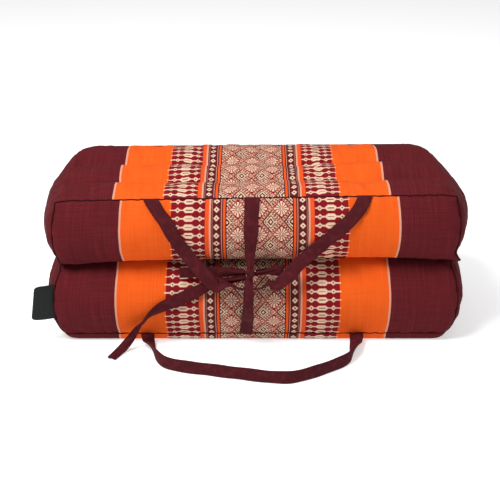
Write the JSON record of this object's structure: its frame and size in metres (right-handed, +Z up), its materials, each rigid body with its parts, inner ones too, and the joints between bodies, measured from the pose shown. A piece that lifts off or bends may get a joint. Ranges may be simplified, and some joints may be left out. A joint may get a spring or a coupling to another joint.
{
  "type": "foldable channelled zafu cushion",
  "caption": "Foldable floor cushion: two channelled box halves folded one on the other, tied shut with ribbons, with a carrying strap on each half",
  "frame": {"origin": "on the ground under the middle of the two stacked halves, at the mount base", "axes": "+Z up, +X along the sewn channels, -Y towards the opening edge with the knot"},
  "size_m": [0.412, 0.264, 0.1539],
  "materials": {
    "cushion_cover": "woven cotton in orange, maroon and cream",
    "plain_cloth": "plain maroon cotton",
    "strap": "maroon cotton strap, stitched along its edges",
    "ribbon": "maroon cotton ribbon",
    "label": "black woven tape, bare"
  },
  "bodies": {
    "root": {"cushion_lower": "cushion_cover", "cushion_upper": "cushion_cover", "hinge_cloth": "plain_cloth", "handle_lower": "strap", "handle_upper": "strap", "tie_lower": "ribbon", "tie_upper": "ribbon", "tie_end_short": "ribbon", "tie_end_long": "ribbon", "tie_loop": "ribbon", "tie_knot": "ribbon", "label": "label"}
  },
  "joints": []
}
